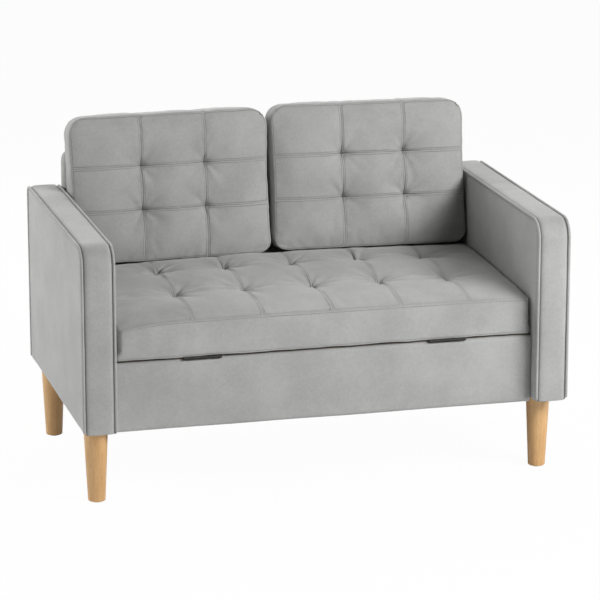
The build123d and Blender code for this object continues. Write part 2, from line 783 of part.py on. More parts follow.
def hinge_leaf(centre, first, up):
    """Leaf of a hinge: a plate behind the axis with every second knuckle, from first on.

    up is 1 for the leaf over the axis, under the lid, and -1 for the leaf on the rail.
    """
    start = centre - hinge_length / 2
    middle_z = hinge_axis_z + up * (leaf_offset + hinge_leaf_thickness / 2)
    own = range(first, hinge_knuckles, 2)
    other = range(1 - first, hinge_knuckles, 2)
    mouth_z = hinge_axis_z + up * leaf_offset
    mouth = Plane(origin=(0, 0, mouth_z), x_dir=(1, 0, 0), z_dir=(0, 0, up))
    places = [(centre + offset, up * hinge_screw_y) for offset in hinge_screw_offsets]
    with BuildPart() as leaf:
        with BuildSketch(side_plane(start)):
            with Locations((hinge_axis_y + hinge_leaf_width / 2, middle_z)):
                Rectangle(hinge_leaf_width, hinge_leaf_thickness)
        extrude(amount=hinge_length)
        for knuckle in own:
            with BuildSketch(side_plane(start + knuckle * knuckle_pitch + hinge_end_clearance)):
                with Locations((hinge_axis_y, hinge_axis_z)):
                    Circle(knuckle_radius)
            extrude(amount=knuckle_pitch - 2 * hinge_end_clearance)
        for knuckle in other:
            with BuildSketch(side_plane(start + knuckle * knuckle_pitch - hinge_end_clearance)):
                with Locations((hinge_axis_y, hinge_axis_z)):
                    Rectangle(2 * knuckle_relief, 2 * knuckle_relief)
            extrude(amount=knuckle_pitch + 2 * hinge_end_clearance, mode=Mode.SUBTRACT)
        with BuildSketch(side_plane(start)):
            with Locations((hinge_axis_y, hinge_axis_z)):
                Circle(pin_radius + hinge_running_clearance)
        extrude(amount=hinge_length, mode=Mode.SUBTRACT)
        countersunk_hole(
            mouth,
            places,
            hinge_screw_hole,
            hinge_screw_head / 2 + screw_clearance,
            leaf_sink,
            hinge_leaf_thickness,
        )
    return leaf.part


for side, centre in zip(("left", "right"), hinge_centres):
    save(hinge_leaf(centre, 0, -1), f"{side}_hinge_rail_leaf")
    save(hinge_leaf(centre, 1, 1), f"{side}_hinge_lid_leaf")
    with BuildPart() as hinge_pin:
        with BuildSketch(side_plane(centre - hinge_length / 2)):
            with Locations((hinge_axis_y, hinge_axis_z)):
                Circle(pin_radius)
        extrude(amount=hinge_length)
        for head_x in (centre - hinge_length / 2 - hinge_pin_head_height, centre + hinge_length / 2):
            with BuildSketch(side_plane(head_x)):
                with Locations((hinge_axis_y, hinge_axis_z)):
                    Circle(hinge_pin_head / 2)
            extrude(amount=hinge_pin_head_height)
    save(hinge_pin.part, f"{side}_hinge_pin")


def countersunk_screws(plane, places, length, diameter, head):
    """Screws along the plane's normal: a conical head, flush with the plane, and a shank."""
    sink = (head - diameter) / 2
    with BuildPart() as screws:
        with BuildSketch(plane):
            with Locations(*places):
                Circle(diameter / 2)
        extrude(amount=length)
        for place in places:
            with BuildSketch(plane):
                with Locations(place):
                    Circle(head / 2)
            with BuildSketch(plane.offset(sink)):
                with Locations(place):
                    Circle(diameter / 2)
            loft(ruled=True)
    return screws.part


rail_leaf_top = Plane(
    origin=(0, 0, rail_top + hinge_leaf_thickness), x_dir=(1, 0, 0), z_dir=(0, 0, -1)
)
flipped_screw_places = [(x, -y) for x, y in hinge_screw_places]
hinge_rail_screws = countersunk_screws(
    rail_leaf_top,
    flipped_screw_places,
    hinge_rail_screw_length,
    hinge_screw_diameter,
    hinge_screw_head,
)
hinge_lid_screws = countersunk_screws(
    Plane.XY.offset(lid_bottom - hinge_leaf_thickness),
    hinge_screw_places,
    hinge_lid_screw_length,
    hinge_screw_diameter,
    hinge_screw_head,
)
save(hinge_rail_screws, "hinge_rail_screws")
save(hinge_lid_screws, "hinge_lid_screws")

# Corner screws of the box, driven from outside the front and rear rails
with BuildPart() as box_screws:
    add(
        countersunk_screws(
            rear_facing_plane(front_board_y),
            box_screw_places,
            box_screw_length,
            box_screw_diameter,
            box_screw_head,
        )
    )
    add(
        countersunk_screws(
            front_plane(back_front_y),
            box_screw_places,
            box_screw_length,
            box_screw_diameter,
            box_screw_head,
        )
    )
save(box_screws.part, "box_screws")

# Bolt seats inside the well: on both side boards and on the rear rail
bolt_seats = [
    (side_plane(well_half_width), arm_bolt_places, board_thickness + arm_pad),
    (
        Plane(origin=(-well_half_width, 0, 0), x_dir=(0, -1, 0), z_dir=(-1, 0, 0)),
        [(-y, z) for y, z in arm_bolt_places],
        board_thickness + arm_pad,
    ),
    (rear_facing_plane(well_rear_y), back_bolt_places, board_thickness + back_pad),
]

with BuildPart() as frame_bolts:
    for seat, places, _ in bolt_seats:
        head_seat = seat.offset(-washer_thickness)
        with BuildSketch(head_seat):
            with Locations(*places):
                Circle(bolt_diameter / 2)
        extrude(amount=bolt_length)
        with BuildSketch(head_seat.offset(-bolt_head_height)):
            with Locations(*places):
                Circle(bolt_head_diameter / 2)
        extrude(amount=bolt_head_height)
        with BuildSketch(head_seat.offset(-bolt_head_height)):
            with Locations(*places):
                RegularPolygon(bolt_socket / 2, 6, major_radius=False)
        extrude(amount=bolt_socket_depth, mode=Mode.SUBTRACT)

with BuildPart() as frame_washers:
    for seat, places, _ in bolt_seats:
        with BuildSketch(seat.offset(-washer_thickness)):
            with Locations(*places):
                Circle(washer_diameter / 2)
                Circle(bolt_diameter / 2 + bolt_clearance, mode=Mode.SUBTRACT)
        extrude(amount=washer_thickness)

with BuildPart() as frame_inserts:
    for seat, places, depth in bolt_seats:
        with BuildSketch(seat.offset(depth)):
            with Locations(*places):
                Circle(bolt_insert_diameter / 2)
                Circle(bolt_diameter / 2 + bolt_clearance, mode=Mode.SUBTRACT)
        extrude(amount=bolt_insert_length)

save(frame_bolts.part, "frame_bolts")
save(frame_washers.part, "frame_washers")
save(frame_inserts.part, "frame_inserts")


def turned_leg(x, y):
    """Tapered round leg with an eased foot, bored for its bolt and for the nail of its glide."""
    top = leg_top_diameter / 2
    foot = leg_bottom_diameter / 2
    with BuildPart() as leg:
        with BuildSketch(Plane(origin=(x, y, 0), x_dir=(1, 0, 0), z_dir=(0, -1, 0))):
            with BuildLine():
                Line((0, glide_thickness), (foot - leg_foot_radius, glide_thickness))
                RadiusArc(
                    (foot - leg_foot_radius, glide_thickness),
                    (foot, glide_thickness + leg_foot_radius),
                    -leg_foot_radius,
                )
                Line((foot, glide_thickness + leg_foot_radius), (top, leg_height - leg_top_chamfer))
                Line((top, leg_height - leg_top_chamfer), (top - leg_top_chamfer, leg_height))
                Line((top - leg_top_chamfer, leg_height), (0, leg_height))
                Line((0, leg_height), (0, glide_thickness))
            make_face()
        revolve(axis=Axis((x, y, 0), (0, 0, 1)))
        with BuildSketch(Plane.XY.offset(leg_height - leg_bolt_length / 2)):
            with Locations((x, y)):
                Circle(leg_bolt_diameter / 2 + bolt_clearance)
        extrude(amount=leg_bolt_length / 2, mode=Mode.SUBTRACT)
        with BuildSketch(Plane.XY.offset(glide_thickness)):
            with Locations((x, y)):
                Circle(glide_nail_diameter / 2 + screw_clearance)
        extrude(amount=glide_nail_length, mode=Mode.SUBTRACT)
    return leg.part


for name, place in leg_places.items():
    save(turned_leg(*place), name)

# Leg bolts, threaded inserts in the arm timber and nail-on glides under the feet
all_leg_places = list(leg_places.values())
with BuildPart() as leg_bolts:
    with BuildSketch(Plane.XY.offset(leg_height - leg_bolt_length / 2)):
        with Locations(*all_leg_places):
            Circle(leg_bolt_diameter / 2)
    extrude(amount=leg_bolt_length)

with BuildPart() as leg_inserts:
    with BuildSketch(Plane.XY.offset(leg_height)):
        with Locations(*all_leg_places):
            Circle(leg_insert_diameter / 2)
            Circle(leg_bolt_diameter / 2 + bolt_clearance, mode=Mode.SUBTRACT)
    extrude(amount=leg_insert_length)

with BuildPart() as leg_glides:
    with BuildSketch():
        with Locations(*all_leg_places):
            Circle(glide_diameter / 2)
    extrude(amount=glide_thickness)
    with BuildSketch(Plane.XY.offset(glide_thickness)):
        with Locations(*all_leg_places):
            Circle(glide_nail_diameter / 2)
    extrude(amount=glide_nail_length)

save(leg_bolts.part, "leg_bolts")
save(leg_inserts.part, "leg_inserts")
save(leg_glides.part, "leg_glides")
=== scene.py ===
# %% [markdown]
# # A two-seat storage sofa
#
# The construction model gives the frame: timber, boards, hinges, legs and plain soft solids, in
# metres, each at its real place. This lesson dresses it. Hard pieces keep their solids and get a
# finish. Soft pieces are made again as cloth over foam, where the solids say they are.

# %% Load the frame
import json
import math

import bpy
import numpy as np
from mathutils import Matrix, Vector


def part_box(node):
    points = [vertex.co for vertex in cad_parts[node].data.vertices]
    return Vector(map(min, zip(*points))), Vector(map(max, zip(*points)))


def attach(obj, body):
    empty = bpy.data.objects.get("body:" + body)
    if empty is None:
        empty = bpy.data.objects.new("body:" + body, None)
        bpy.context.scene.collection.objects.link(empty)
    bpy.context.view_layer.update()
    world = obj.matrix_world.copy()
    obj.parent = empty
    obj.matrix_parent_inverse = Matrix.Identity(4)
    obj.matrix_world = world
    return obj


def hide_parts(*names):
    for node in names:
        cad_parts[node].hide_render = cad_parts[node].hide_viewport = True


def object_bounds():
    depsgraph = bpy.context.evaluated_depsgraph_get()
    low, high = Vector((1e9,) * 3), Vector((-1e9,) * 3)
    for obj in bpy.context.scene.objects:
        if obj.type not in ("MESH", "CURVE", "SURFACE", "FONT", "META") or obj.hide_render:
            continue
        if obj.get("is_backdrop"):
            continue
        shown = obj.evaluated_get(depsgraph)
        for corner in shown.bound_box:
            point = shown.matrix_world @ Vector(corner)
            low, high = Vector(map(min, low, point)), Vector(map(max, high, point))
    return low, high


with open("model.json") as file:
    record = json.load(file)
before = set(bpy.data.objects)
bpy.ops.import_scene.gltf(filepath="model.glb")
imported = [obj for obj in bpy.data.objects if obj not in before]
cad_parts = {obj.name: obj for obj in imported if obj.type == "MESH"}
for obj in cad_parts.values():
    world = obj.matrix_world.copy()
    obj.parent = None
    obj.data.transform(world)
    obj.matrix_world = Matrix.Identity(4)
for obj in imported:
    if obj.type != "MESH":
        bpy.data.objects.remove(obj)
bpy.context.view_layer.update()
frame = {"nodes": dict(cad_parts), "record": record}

# %% [markdown]
# ## The skin of a box of cells
#
# Every soft piece here is a box that was bent: an arm, a seat, a cushion. One grid of cells in
# three directions can be bent by formulas on whole arrays, and its outer skin is closed from the
# start, with no seam to weld. A cube with modifiers could do it too, but then no point would know
# where on the cloth it lies, and seams and stitches need that.

# %% Cells, their skin, and a piece made of it


def lattice(xs, ys, zs):
    """Points of a box of cells: every x with every y and every z, in shape (nx, ny, nz, 3)."""
    return np.stack(np.meshgrid(xs, ys, zs, indexing="ij"), axis=-1)


def skin(shape):
    """Mask of the outer points of a box of cells, and its outer quads, which all face outwards.

    A point is outside if one of its three indices is the first or the last. Each of the six
    sides is a slice of the point numbers, and its quads join that slice to itself moved by one.
    """
    outside = np.zeros(shape, bool)
    for axis in range(3):
        np.moveaxis(outside, axis, 0)[[0, -1]] = True
    number = np.full(shape, -1)
    number[outside] = np.arange(outside.sum())
    sides = (
        (number[-1], False), (number[0], True),
        (number[:, -1], True), (number[:, 0], False),
        (number[:, :, -1], False), (number[:, :, 0], True),
    )
    quads = []
    for side, turned in sides:
        ring = np.stack([side[:-1, :-1], side[1:, :-1], side[1:, 1:], side[:-1, 1:]], axis=-1)
        quads.append(ring.reshape(-1, 4)[:, ::-1] if turned else ring.reshape(-1, 4))
    return outside, np.concatenate(quads)


def make_piece(name, points, quads, marks=None):
    """A smooth mesh object at the origin; marks are numbers kept on its points by name."""
    mesh = bpy.data.meshes.new(name)
    mesh.from_pydata(points.tolist(), [], quads.tolist())
    for mark, values in (marks or {}).items():
        attribute = mesh.attributes.new(mark, "FLOAT", "POINT")
        attribute.data.foreach_set("value", values.astype(np.float32))
    mesh.shade_smooth()
    piece = bpy.data.objects.new(name, mesh)
    bpy.context.scene.collection.objects.link(piece)
    return piece


outside, quads = skin((3, 3, 3))
print("skin of 2 x 2 x 2 cells:", outside.sum(), "points,", len(quads), "quads")

# %% [markdown]
# ## Round corners without a bevel
#
# Cloth never turns a square corner. The corner square of a plan is squeezed into a quarter disc:
# a point p, q of the unit square goes to p sqrt(1 - q^2 / 2), q sqrt(1 - p^2 / 2). Its two inner
# sides stay where they are, so the rest of the plan isn't moved, and a bevel isn't needed.

# %% Round the corners of a plan


def round_corners(a, b, corners):
    """Squeeze corner squares of the plan a, b into quarter discs.

    Each corner is (a of its tip, b of its tip, radius). With p and q from 0 at the square's inner
    sides to 1 at its outer ones, p becomes p sqrt(1 - q^2 / 2) and q becomes q sqrt(1 - p^2 / 2).
    """
    middle_a = (a.min() + a.max()) / 2
    middle_b = (b.min() + b.max()) / 2
    round_a, round_b = a.copy(), b.copy()
    for tip_a, tip_b, radius in corners:
        way_a = np.sign(tip_a - middle_a)
        way_b = np.sign(tip_b - middle_b)
        p = np.clip(1 - (tip_a - a) * way_a / radius, 0, 1)
        q = np.clip(1 - (tip_b - b) * way_b / radius, 0, 1)
        round_a += way_a * radius * p * (np.sqrt(1 - q**2 / 2) - 1)
        round_b += way_b * radius * q * (np.sqrt(1 - p**2 / 2) - 1)
    return round_a, round_b


corner = round_corners(np.array([0.0, 1.0]), np.array([0.0, 1.0]), [(1.0, 1.0, 0.5)])
print("tip of a rounded corner:", round(float(corner[0][1]), 3), round(float(corner[1][1]), 3))

# %% [markdown]
# ## Shader sums as Python sums
#
# A finish is a sum of patterns. Written as node calls, a sum is unreadable, so one small class
# wraps a socket and lets Python's operators add the Math nodes. Any other node comes from one
# method of the finish, which takes the node's kind, its settings and its inputs.

# %% Values and finishes


class Value:
    """A shader socket that can be added, multiplied and compared like a number."""

    def __init__(self, finish, socket):
        self.finish = finish
        self.socket = socket

    def operate(self, operation, *others, turned=False):
        """A Math node of this value and others; turned puts the other one first."""
        terms = [self, *others]
        if turned:
            terms.reverse()
        return self.finish.node("Math", {"operation": operation}, dict(enumerate(terms)))

    def __add__(self, other):
        return self.operate("ADD", other)

    __radd__ = __add__

    def __sub__(self, other):
        return self.operate("SUBTRACT", other)

    def __rsub__(self, other):
        return self.operate("SUBTRACT", other, turned=True)

    def __mul__(self, other):
        return self.operate("MULTIPLY", other)

    __rmul__ = __mul__

    def __truediv__(self, other):
        return self.operate("DIVIDE", other)

    def __rtruediv__(self, other):
        return self.operate("DIVIDE", other, turned=True)

    def __abs__(self):
        return self.operate("ABSOLUTE")

    def sine(self):
        return self.operate("SINE")

    def above(self, edge, soft):
        """0 below the edge, 1 above it, with a soft change over the width given."""
        steps = {"interpolation_type": "SMOOTHSTEP", "clamp": True}
        return self.finish.node(
            "MapRange", steps, {"Value": self, "From Min": edge - soft, "From Max": edge + soft}
        )

    def below(self, edge, soft):
        return 1 - self.above(edge, soft)


class Finish:
    """A material: a Principled surface, and the nodes that vary it."""

    def __init__(self, name, **constants):
        self.material = bpy.data.materials.new(name)
        self.material.use_nodes = True
        self.tree = self.material.node_tree
        self.surface = self.tree.nodes["Principled BSDF"]
        for socket, number in constants.items():
            self.surface.inputs[socket.replace("_", " ")].default_value = number

    def node(self, kind, settings=None, inputs=None, output=0):
        """Add a node: settings first, then its sockets, and give back one output as a value."""
        made = self.tree.nodes.new("ShaderNode" + kind)
        for name, setting in (settings or {}).items():
            setattr(made, name, setting)
        for name, given in (inputs or {}).items():
            if isinstance(given, Value):
                self.tree.links.new(given.socket, made.inputs[name])
            else:
                made.inputs[name].default_value = given
        return Value(self, made.outputs[output])

    def feed(self, **varying):
        """Link values to the surface's own sockets."""
        for name, value in varying.items():
            self.tree.links.new(value.socket, self.surface.inputs[name.replace("_", " ")])

    def place(self, scale=(1, 1, 1), turn=(0, 0, 0)):
        """Object coordinates in metres, stretched and turned."""
        where = self.node("TexCoord", output="Object")
        return self.node("Mapping", None, {"Vector": where, "Scale": scale, "Rotation": turn})

    def noise(self, where, scale, detail=3.0, roughness=0.55):
        """Noise from 0 to 1, with so many waves to the metre."""
        sockets = {"Vector": where, "Scale": scale, "Detail": detail, "Roughness": roughness}
        return self.node("TexNoise", None, sockets)

    def mark(self, name):
        """A number kept on the mesh's points."""
        return self.node("Attribute", {"attribute_name": name}, output="Fac")

    def mix(self, share, first, second):
        """Colour between two colours."""
        settings = {"data_type": "RGBA"}
        return self.node("Mix", settings, {0: share, 6: first, 7: second}, output=2)

    def bump(self, height, metres, under=None):
        """Normal of a fine relief whose height runs from 0 to 1 over so many metres."""
        sockets = {"Height": height, "Distance": metres, "Strength": 1.0}
        if under is not None:
            sockets["Normal"] = under
        return self.node("Bump", None, sockets)


print("finishes ready")

# %% [markdown]
# ## Cloth of the sofa
#
# The cover is a pale grey brushed cloth with a short pile. From a step away it has faint clouds,
# where the pile lies differently, and close up a fine grain. Sewn lines carry marks on the mesh:
# how far a point lies from the nearest seam, and how far along it. With these the finish paints
# the shade of the seam's crease, stronger near the tufts, and sets a row of stitches on each side
# of it, dark partly as stitches and partly with painted shade of their groove, so no stitch has to
# be a mesh. On the arms it paints shade into the ditch beside the piping cord.

# %% Grey brushed cloth
STITCH_OFFSET = 0.0046
STITCH_LENGTH = 0.0045


def brushed_cloth(name, light, dark, sewn=None):
    """Clouds of pile and a fine grain.

    Sewn cloth gets painted shade in a piping ditch, or along its seams and stitch rows.
    """
    cloth = Finish(name, Roughness=0.9, Sheen_Weight=0.3, Sheen_Roughness=0.5)
    cloth.surface.inputs["Specular IOR Level"].default_value = 0.2
    where = cloth.place()
    clouds = cloth.noise(where, 9.0, 5.0, 0.6)
    specks = cloth.noise(where, 160.0, 4.0, 0.65)
    grain = cloth.noise(where, 1100.0, 2.0, 0.7)
    threads = cloth.noise(cloth.place(scale=(1.0, 1.0, 0.35)), 650.0, 2.0)
    tone = clouds * 0.5 + specks * 0.3 + grain * 0.12 + threads * 0.08
    colour = cloth.mix(tone.above(0.5, 0.22), dark, light)
    normal = cloth.bump(grain * 0.5 + threads * 0.3 + specks * 0.4, 0.0005)
    # colour of the shade painted into the ditch, the seams and the stitch grooves
    painted_shade = tuple(0.3 * c for c in dark[:3]) + (1,)
    # painted shade in the ditch beside the arms' piping cord, where cord and panel shade the groove
    if sewn == "ditch":
        colour = cloth.mix(cloth.mark("ditch").below(0.0076, 0.0022) * 0.68, colour, painted_shade)
    if sewn == "seams":
        gap = cloth.mark("seam_gap")
        run = cloth.mark("seam_run")
        pull = cloth.mark("pull")
        # the seam line gets the painted shade of its crease, darker near the tufts where the crease
        # is deeper
        seam = gap.below(0.0011, 0.0008)
        row = abs(gap - STITCH_OFFSET).below(0.0009, 0.0004)
        stitch = (run * (2 * math.pi / STITCH_LENGTH)).sine().above(-0.4, 0.25)
        colour = cloth.mix(seam * (0.25 + 0.5 * pull), colour, painted_shade)
        # stitch rows darken partly as stitches and partly with painted shade of their groove; it
        # varies at random with the clouds and is weaker near the tufts
        row_darkening = (0.45 + 0.65 * clouds.above(0.5, 0.15)) * (1.3 - 0.6 * pull)
        colour = cloth.mix(row * (0.46 - 0.16 * stitch) * row_darkening, colour, painted_shade)
        normal = cloth.bump(row * (stitch * 0.5 - 1), 0.0007, under=normal)
    cloth.feed(Base_Color=colour, Normal=normal, Roughness=0.82 + 0.14 * clouds)
    return cloth.material


GREY_LIGHT = (0.477, 0.481, 0.470, 1)
GREY_DARK = (0.355, 0.358, 0.350, 1)
plain_cloth = brushed_cloth("grey_cloth", GREY_LIGHT, GREY_DARK)
piped_cloth = brushed_cloth("grey_cloth_piped", GREY_LIGHT, GREY_DARK, "ditch")
sewn_cloth = brushed_cloth("grey_cloth_sewn", GREY_LIGHT, GREY_DARK, "seams")
print("cloth:", plain_cloth.name, piped_cloth.name, sewn_cloth.name)


# %% [markdown]
# ## Dress a piece
#
# A soft piece of this lesson stands for a plain solid of the frame. It gets its cloth, rides on the
# body that it moves with, and hides the solids whose place it takes.

# %% Cloth, body and solids


def dress(piece, body, material, slot, *nodes):
    """Give a piece its cloth, let it ride on a body and stand for the solids named."""
    piece.data.materials.append(material)
    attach(piece, body)
    if nodes:
        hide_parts(*nodes)
    triangles = sum(len(p.vertices) - 2 for p in piece.data.polygons)
    print(f"{piece.name}: {triangles} triangles on {body}")


print("pieces can be dressed")

# %% [markdown]
# ## Cloth that isn't quite flat
#
# Cloth over foam is pulled by hand, so no face of a real sofa is flat. A few long waves along the
# normals give that. A lattice also needs closer lines where a dip or a seam comes, and only there,
# because a fine grid everywhere would cost far more points.

# %% Closer lines and soft waves


def graded(start, end, lines, step, close):
    """Places from start to end about a step apart, with closer ones beside each line.

    Beside a line they lie at the distances in close. Even places that come too near are dropped.
    """
    even = np.linspace(start, end, round((end - start) / step) + 1)
    marks = np.concatenate([[start, end], lines])
    near = (marks[:, None] + np.concatenate([-close, [0.0], close])).ravel()
    near = np.unique(np.round(near[(near >= start - 1e-9) & (near <= end + 1e-9)], 7))
    gap = np.abs(even[:, None] - near).min(axis=1)
    return np.sort(np.concatenate([near, even[gap > 0.5 * step]]))


def points_of(mesh):
    """A mesh's points as an array of rows."""
    flat = np.empty(3 * len(mesh.vertices), np.float32)
    mesh.vertices.foreach_get("co", flat)
    return flat.reshape(-1, 3).astype(float)


def push(piece, distance):
    """Move each point along its own normal by its distance."""
    mesh = piece.data
    normals = np.empty(3 * len(mesh.vertices), np.float32)
    mesh.vertex_normals.foreach_get("vector", normals)
    moved = points_of(mesh) + normals.reshape(-1, 3) * distance[:, None]
    mesh.vertices.foreach_set("co", moved.astype(np.float32).ravel())
    mesh.update()


def ripple(points, height, length, seed):
    """Soft unevenness of hand-pulled cloth: six sine waves that cross, with seeded directions."""
    chance = np.random.default_rng(seed)
    way = chance.normal(size=(6, 3))
    way *= 2 * np.pi / length / np.linalg.norm(way, axis=1, keepdims=True)
    phase = chance.uniform(0, 2 * np.pi, 6)
    return height * np.sin(points @ way.T + phase).sum(axis=1) / 6


print("places from 0 to 1:", graded(0, 1, [], 0.25, np.array([0.05])).round(3))

# %% [markdown]
# ## Arms
#
# An arm is a padded box with round top corners. A band of cloth runs up the front, over the top
# and down the rear, a panel covers each side, and a piping cord is sewn in between. So the box
# dips where band and panel meet, the cord fills the dip, and the foam lifts the middle of each
# face a little. The dip is a bell curve of the distance to the edge, 1 at the edge itself.

# %% Arms and their piping
ARM_FRONT_RADIUS = 0.045
ARM_REAR_RADIUS = 0.018
CORD_RADIUS = 0.0035
CORD_INSET = 0.0018
DIP_DEPTH = 0.0062
DIP_WIDTH = 0.0075
ARM_FOOT_RADIUS = 0.009
BAND_SWELL = 0.003
PANEL_SWELL = 0.0024
EDGE_STEPS = np.array([0.0015, 0.003, 0.0047, 0.0068, 0.0095, 0.013, 0.018])


def arm_points(low, high):
    """Bent cells of an arm between two corners, and how far each lies from the piped edge.

    Side view: the two top corners are rounded. Then each face is moved along its own normal by
    swell (1 - u^4)(1 - v^4) - dip exp(-(d / width)^2), with u and v from -1 to 1 across the face
    and d the distance to the edge where band and panel meet. Last, the outer foot is rounded.
    """
    xs = graded(low[0], high[0], [], 0.006, EDGE_STEPS)
    ys = graded(low[1], high[1], [], 0.012, EDGE_STEPS)
    zs = graded(low[2], high[2], [], 0.012, EDGE_STEPS)
    cells = lattice(xs, ys, zs)
    x, y, z = (cells[..., i].copy() for i in range(3))
    across = 2 * (x - low[0]) / (high[0] - low[0]) - 1
    along = 2 * (y - low[1]) / (high[1] - low[1]) - 1
    up = 2 * (z - low[2]) / (high[2] - low[2]) - 1
    to_side = np.minimum(x - low[0], high[0] - x)
    to_band = np.minimum(np.minimum(y - low[1], high[1] - y), high[2] - z)
    corners = [(low[1], high[2], ARM_FRONT_RADIUS), (high[1], high[2], ARM_REAR_RADIUS)]
    y, z = round_corners(y, z, corners)
    core_y = np.clip(y, low[1] + ARM_FRONT_RADIUS, high[1] - ARM_REAR_RADIUS)
    core_z = np.minimum(z, high[2] - np.where(y < 0, ARM_FRONT_RADIUS, ARM_REAR_RADIUS))
    reach = np.hypot(y - core_y, z - core_z) + 1e-9
    band = to_band < 1e-9
    panel = to_side < 1e-9
    lift = BAND_SWELL * (1 - across**4) - DIP_DEPTH * np.exp(-((to_side / DIP_WIDTH) ** 2))
    y += np.where(band, lift * (y - core_y) / reach, 0)
    z += np.where(band, lift * (z - core_z) / reach, 0)
    swell = PANEL_SWELL * (1 - along**4) * (1 - up**4)
    lift = swell - DIP_DEPTH * np.exp(-((to_band / DIP_WIDTH) ** 2))
    x += np.where(panel, lift * np.sign(across), 0)
    outer = low[0] if low[0] < 0 else high[0]
    x, z = round_corners(x, z, [(outer, low[2], ARM_FOOT_RADIUS)])
    gap = np.where(panel, to_band, np.where(band, to_side, 1.0))
    return np.stack([x, y, z], axis=-1), gap


def arm_path(low, high, inset, count):
    """Side view of the piping's path: up the front, over the top and down the rear.

    The path is three lines and two quarter circles, read at even steps of its length.
    """
    front, rear, top = low[1] + inset, high[1] - inset, high[2] - inset
    r1, r2 = ARM_FRONT_RADIUS - inset, ARM_REAR_RADIUS - inset
    turn = np.linspace(0, np.pi / 2, 24)
    rise, fall = np.sin(turn), np.cos(turn)
    y = np.concatenate([[front], front + r1 - r1 * fall, rear - r2 + r2 * rise, [rear]])
    z = np.concatenate([[low[2]], top - r1 + r1 * rise, top - r2 + r2 * fall, [low[2]]])
    length = np.concatenate([[0], np.cumsum(np.hypot(np.diff(y), np.diff(z)))])
    even = np.linspace(0, length[-1], count)
    return np.interp(even, length, y), np.interp(even, length, z)


def cord_piece(name, x, y, z, radius):
    """Round cord along a path in an upright plane: a circle carried along it, closed at both ends.

    Each ring is path + radius (cos t normal + sin t sideways). The end rings are small, and a strip
    of quads from one side of the ring to the other closes each of them.
    """
    slope = np.stack([np.gradient(y), np.gradient(z)], axis=1)
    slope /= np.linalg.norm(slope, axis=1, keepdims=True)
    turn = np.linspace(0, 2 * np.pi, 13)[:-1]
    ends = np.ones(len(y))
    ends[[0, -1]] = 0.05
    out = np.outer(ends, radius * np.cos(turn))
    side = np.outer(ends, radius * np.sin(turn))
    rings = np.stack([
        x[:, None] + side,
        y[:, None] - slope[:, 1:] * out,
        z[:, None] + slope[:, :1] * out,
    ], axis=-1)
    count, around = rings.shape[:2]
    number = np.arange(count * around).reshape(count, around)
    closed = np.concatenate([number, number[:, :1]], axis=1)
    tube = np.stack([closed[:-1, :-1], closed[:-1, 1:], closed[1:, 1:], closed[1:, :-1]], axis=-1)
    step = np.arange(around // 2 - 1)
    strip = np.stack([-step % around, step + 1, step + 2, (-step - 1) % around], axis=1)
    quads = np.concatenate([tube.reshape(-1, 4), number[0][strip[:, ::-1]], number[-1][strip]])
    return make_piece(name, rings.reshape(-1, 3), quads)


for side in ("left", "right"):
    low, high = (np.array(corner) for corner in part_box(f"{side}_arm_padding"))
    cells, gap = arm_points(low, high)
    outside, quads = skin(cells.shape[:3])
    # the ditch mark tells the finish where to paint shade beside the piping cord
    arm = make_piece(f"{side}_arm", cells[outside], quads, {"ditch": gap[outside]})
    push(arm, ripple(cells[outside], 0.0007, 0.16, seed=11 if side == "left" else 12))
    dress(arm, "frame", piped_cloth, "upholstery", f"{side}_arm_padding")
    y, z = arm_path(low, high, CORD_INSET, 260)
    foot = np.clip(1 - (z - low[2]) / ARM_FOOT_RADIUS, 0, 1)
    tuck = ARM_FOOT_RADIUS * (1 - np.sqrt(1 - foot**2))
    left_run = low[0] + CORD_INSET + tuck * (side == "left")
    right_run = high[0] - CORD_INSET - tuck * (side == "right")
    for edge, x in (("a", left_run), ("b", right_run)):
        cord = cord_piece(f"{side}_arm_cord_{edge}", x, y, z, CORD_RADIUS)
        dress(cord, "frame", plain_cloth, "upholstery", f"{side}_arm_piping")

# %% [markdown]
# ## Back slab, front rail and rear deck
#
# These three are flat padded boards with soft edges. A box is softened by taking the part of each
# point that lies within a radius of a face, and making that square offset round: the offset keeps
# its direction, and its largest share becomes its length. Radii differ from axis to axis.

# %% Softened boards


def soften(points, low, high, radii):
    """Round the edges of a box: offsets from its core, in shares of the radii, become round.

    With d the offset over the radii, the new offset is d times max|d| over the length of d.
    """
    core = np.clip(points, low + radii, high - radii)
    offset = (points - core) / radii
    length = np.linalg.norm(offset, axis=-1, keepdims=True)
    largest = np.abs(offset).max(axis=-1, keepdims=True)
    return core + radii * offset * largest / np.maximum(length, 1e-9)


def board_piece(name, low, high, radii, spare, step, seed):
    """Softened padded board; spare moves a face's rounding past the box, so that face is square."""
    spare_low, spare_high = (np.array(s) for s in spare)
    edges = np.array([0.002, 0.005, 0.009, 0.014, 0.02])
    half = (high - low) / 2
    rows = [graded(low[i], high[i], [], step, edges[edges < half[i]]) for i in range(3)]
    cells = soften(lattice(*rows), low - spare_low, high + spare_high, np.array(radii))
    outside, quads = skin(cells.shape[:3])
    piece = make_piece(name, cells[outside], quads)
    push(piece, ripple(cells[outside], 0.0007, 0.2, seed))
    return piece


SQUARE_FOOT = ((0, 0, 0.1), (0, 0, 0))
SQUARE_REAR = ((0, 0, 0), (0, 0.1, 0))

low, high = (np.array(c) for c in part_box("back_padding"))
slab = board_piece("back_slab", low, high, (0.014, 0.024, 0.028), SQUARE_FOOT, 0.014, seed=21)
dress(slab, "frame", plain_cloth, "upholstery", "back_padding")

low, high = (np.array(c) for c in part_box("front_rail_padding"))
high[1] -= 0.002
rail_radii = (0.004, 0.009, 0.008)
rail = board_piece("front_rail_cover", low, high, rail_radii, SQUARE_REAR, 0.012, seed=22)
dress(rail, "frame", plain_cloth, "upholstery", "front_rail_padding")

